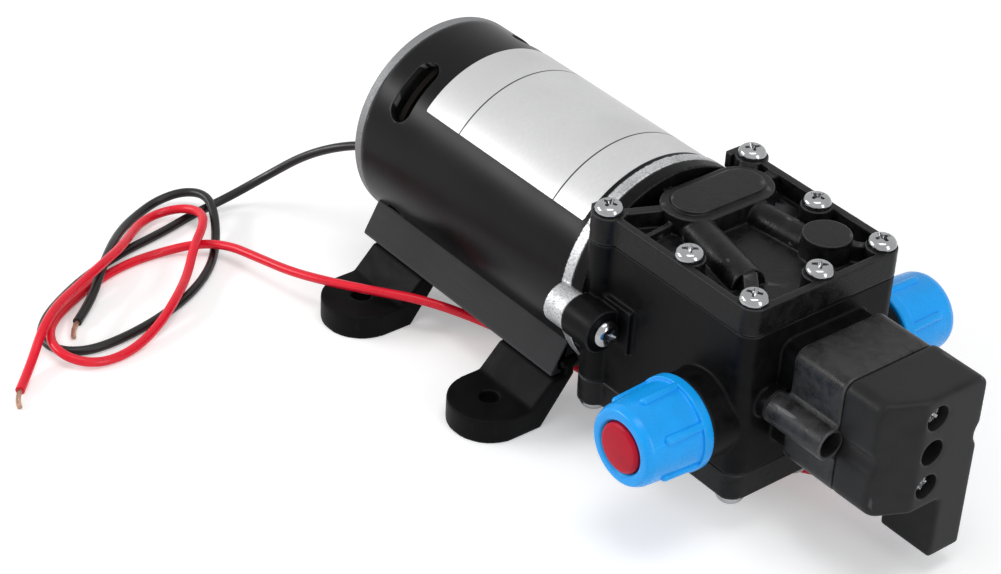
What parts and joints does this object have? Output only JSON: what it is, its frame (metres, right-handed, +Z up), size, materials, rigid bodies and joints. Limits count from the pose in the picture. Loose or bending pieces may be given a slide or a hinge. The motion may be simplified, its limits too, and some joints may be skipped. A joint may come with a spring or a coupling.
{
  "type": "diaphragm water pump",
  "caption": "Small electric diaphragm water pump: round motor, square pump head with plugged side ports, pressure switch, slotted mounting rail with rubber feet and loose supply leads.",
  "frame": {"origin": "centre of the four foot holes, at the underside of the feet", "axes": "+X along the motor shaft towards the pressure switch, +Z up, +Y towards the right port"},
  "size_m": [0.2097, 0.165, 0.0595],
  "materials": {
    "can_black": "satin black paint",
    "cast_zinc": "cast, unpolished",
    "ferrite": "sintered ferrite",
    "steel": "turned and ground",
    "chrome_screw": "bright plated",
    "copper": "enamelled wire and copper bars",
    "carbon": "pressed carbon",
    "brush_plate": "phenolic plate",
    "bronze": "sintered bush",
    "label_foil": "foil label, bare",
    "head_black": "glass filled moulding, satin",
    "cover_grey": "glass filled moulding, mottled",
    "seal_rubber": "moulded",
    "plate_white": "moulding",
    "membrane": "moulded",
    "yoke_white": "moulding",
    "nut_blue": "moulded",
    "plug_red": "moulded",
    "switch_grey": "moulded, mottled",
    "cap_charcoal": "moulded",
    "spring_steel": "spring wire",
    "micro_black": "moulded",
    "button_red": "moulded",
    "rail_plastic": "extruded, grained",
    "foot_rubber": "moulded",
    "black_pvc": "extruded",
    "red_pvc": "extruded",
    "bare_copper": "tinned strands"
  },
  "bodies": {
    "pump": {"motor_can": "can_black", "rear_end_bell": "cast_zinc", "front_bracket": "cast_zinc", "field_magnets": "ferrite", "through_bolts": "chrome_screw", "brush_holder": "brush_plate", "carbon_brushes": "carbon", "rear_bush": "bronze", "front_bearing_outer_ring": "steel", "rating_label": "label_foil", "head_body": "head_black", "cover_top": "cover_grey", "cover_bottom": "cover_grey", "cover_seals": "seal_rubber", "cover_screws": "chrome_screw", "valve_plates": "plate_white", "umbrella_valves": "seal_rubber", "diaphragm_top": "membrane", "diaphragm_bottom": "membrane", "lug_screws": "chrome_screw", "port_washers": "seal_rubber", "switch_base": "switch_grey", "switch_cap": "cap_charcoal", "switch_diaphragm": "membrane", "switch_spring": "spring_steel", "microswitch": "micro_black", "cap_screws": "chrome_screw", "base_screws": "chrome_screw", "saddle_rail": "rail_plastic", "saddle_screws": "chrome_screw", "lead_glands": "seal_rubber", "black_lead": "black_pvc", "red_lead": "red_pvc", "bare_ends": "bare_copper"},
    "rotor": {"rotor_shaft": "steel", "armature_core": "steel", "armature_windings": "copper", "commutator": "copper", "front_bearing_inner_ring": "steel", "eccentric": "steel", "cam_set_screw": "steel", "cam_bearing_inner_ring": "steel"},
    "front_balls": {"front_bearing_balls": "steel"},
    "cam_balls": {"cam_bearing_balls": "steel"},
    "yoke": {"yoke": "yoke_white", "cam_bearing_outer_ring": "steel", "piston_discs": "yoke_white", "piston_screws": "chrome_screw"},
    "plug_left": {"port_plug_left": "plug_red"},
    "nut_left": {"port_nut_left": "nut_blue"},
    "plug_right": {"port_plug_right": "plug_red"},
    "nut_right": {"port_nut_right": "nut_blue"},
    "plunger": {"switch_plunger": "yoke_white"},
    "button": {"microswitch_button": "button_red"},
    "spring_cup": {"spring_cup": "bronze"},
    "adjuster": {"adjusting_screw": "steel"},
    "foot_front_right": {"foot_front_right": "foot_rubber"},
    "foot_rear_right": {"foot_rear_right": "foot_rubber"},
    "foot_front_left": {"foot_front_left": "foot_rubber"},
    "foot_rear_left": {"foot_rear_left": "foot_rubber"}
  },
  "joints": [
    {"name": "rotor_spin", "type": "hinge", "parent": "pump", "child": "rotor", "pos_m": [0, 0, 0.0335], "axis": [1, 0, 0], "continuous": true},
    {"name": "front_balls_spin", "type": "hinge", "parent": "pump", "child": "front_balls", "pos_m": [0.0336, 0, 0.0335], "axis": [1, 0, 0], "continuous": true},
    {"name": "cam_balls_spin", "type": "hinge", "parent": "rotor", "child": "cam_balls", "pos_m": [0.0561, 0, 0.03475], "axis": [1, 0, 0], "continuous": true},
    {"name": "yoke_swing", "type": "hinge", "parent": "rotor", "child": "yoke", "pos_m": [0.0561, 0, 0.03475], "axis": [1, 0, 0], "continuous": true, "deforming": ["diaphragm_top", "diaphragm_bottom"]},
    {"name": "plug_left_out", "type": "slide", "parent": "pump", "child": "plug_left", "axis": [0, -1, 0], "range_m": [0, 0.01]},
    {"name": "nut_left_turn", "type": "hinge", "parent": "plug_left", "child": "nut_left", "pos_m": [0.0754, -0.036, 0.0277], "axis": [0, -1, 0], "range_deg": [0, 2689.9]},
    {"name": "plug_right_out", "type": "slide", "parent": "pump", "child": "plug_right", "axis": [0, 1, 0], "range_m": [0, 0.01]},
    {"name": "nut_right_turn", "type": "hinge", "parent": "plug_right", "child": "nut_right", "pos_m": [0.0754, 0.036, 0.0277], "axis": [0, 1, 0], "range_deg": [0, 2689.9]},
    {"name": "plunger_push", "type": "slide", "parent": "pump", "child": "plunger", "axis": [1, 0, 0], "range_m": [0, 0.0006], "stiffness_N_per_m": 2000, "deforming": ["switch_diaphragm", "switch_spring"]},
    {"name": "button_push", "type": "slide", "parent": "pump", "child": "button", "axis": [1, 0, 0], "range_m": [0, 0.0006]},
    {"name": "adjuster_turn", "type": "hinge", "parent": "pump", "child": "adjuster", "pos_m": [0.11, 0, 0.03435], "axis": [-1, 0, 0], "range_deg": [0, 1080]},
    {"name": "spring_cup_push", "type": "slide", "parent": "pump", "child": "spring_cup", "axis": [-1, 0, 0], "range_m": [0, 0.0015], "deforming": ["switch_spring"]},
    {"name": "foot_front_right_slide", "type": "slide", "parent": "pump", "child": "foot_front_right", "axis": [1, 0, 0], "range_m": [-0.01, 0]},
    {"name": "foot_front_left_slide", "type": "slide", "parent": "pump", "child": "foot_front_left", "axis": [1, 0, 0], "range_m": [-0.01, 0]},
    {"name": "foot_rear_right_slide", "type": "slide", "parent": "pump", "child": "foot_rear_right", "axis": [1, 0, 0], "range_m": [-0.004, 0]},
    {"name": "foot_rear_left_slide", "type": "slide", "parent": "pump", "child": "foot_rear_left", "axis": [1, 0, 0], "range_m": [-0.004, 0]}
  ],
  "couplings": [
    {"joint": "front_balls_spin", "follows": "rotor_spin", "ratio": 0.3848},
    {"joint": "cam_balls_spin", "follows": "rotor_spin", "ratio": -0.5677},
    {"joint": "yoke_swing", "follows": "rotor_spin", "ratio": -1},
    {"joint": "plug_left_out", "follows": "nut_left_turn", "m_per_rad": 0.00021279},
    {"joint": "plug_right_out", "follows": "nut_right_turn", "m_per_rad": 0.00021279},
    {"joint": "button_push", "follows": "plunger_push", "ratio": 1},
    {"joint": "adjuster_turn", "follows": "spring_cup_push", "rad_per_m": 12566}
  ]
}
